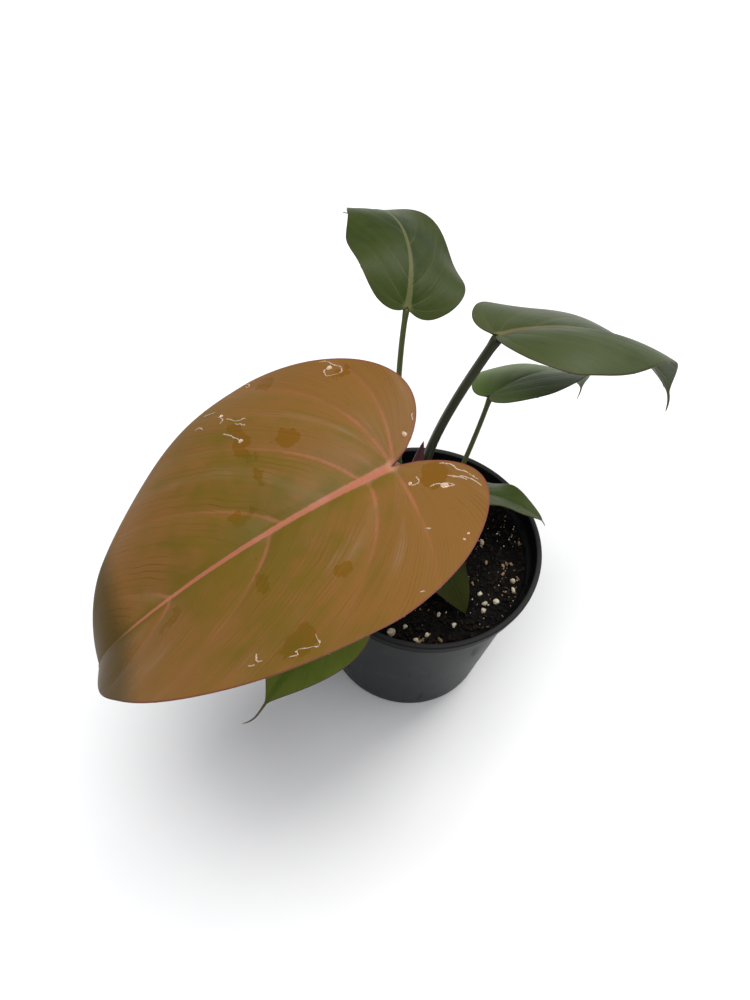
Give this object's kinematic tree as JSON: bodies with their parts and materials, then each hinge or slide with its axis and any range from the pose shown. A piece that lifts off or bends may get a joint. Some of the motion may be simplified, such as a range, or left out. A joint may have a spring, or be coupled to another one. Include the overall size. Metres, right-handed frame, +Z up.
{
  "type": "potted philodendron",
  "caption": "Young philodendron with one large copper-coloured heart-shaped leaf and smaller green leaves on slim stalks, in a round black plastic nursery pot filled with potting mix",
  "frame": {"origin": "centre of the flat underside of the pot", "axes": "+Z is up along the pot's axis; +Y points to the back, away from the large front leaf; +X points to the right"},
  "size_m": [0.2323, 0.2614, 0.2074],
  "materials": {
    "pot_plastic": "semi-matte moulded charcoal plastic",
    "potting_mix": "moist peat and bark, matt",
    "stem_skin": "smooth green stem",
    "sheath_skin": "thin maroon sheath, satin",
    "leaf_stalk": "dark olive, satin",
    "green_leaf": "waxy green leaf, satin",
    "copper_leaf": "waxy copper-coloured young leaf, satin",
    "perlite": "rough cream granules",
    "water": "clear drops and film of water on the front leaf"
  },
  "bodies": {
    "root": {"pot": "pot_plastic", "potting_mix": "potting_mix", "stem": "stem_skin", "sheath": "sheath_skin", "stalk_soil": "leaf_stalk", "blade_soil": "green_leaf", "stalk_low": "leaf_stalk", "blade_low": "green_leaf", "stalk_rim": "leaf_stalk", "blade_rim": "green_leaf", "stalk_middle": "leaf_stalk", "blade_middle": "green_leaf", "stalk_tall": "leaf_stalk", "blade_tall": "green_leaf", "stalk_right": "leaf_stalk", "blade_right": "green_leaf", "stalk_front": "leaf_stalk", "blade_front": "copper_leaf", "perlite_01": "perlite", "perlite_02": "perlite", "perlite_03": "perlite", "perlite_04": "perlite", "perlite_05": "perlite", "perlite_06": "perlite", "perlite_07": "perlite", "perlite_08": "perlite", "perlite_09": "perlite", "perlite_10": "perlite", "perlite_11": "perlite", "perlite_12": "perlite", "perlite_13": "perlite", "perlite_14": "perlite", "perlite_15": "perlite", "perlite_16": "perlite", "perlite_17": "perlite", "perlite_18": "perlite", "perlite_19": "perlite"}
  },
  "joints": []
}
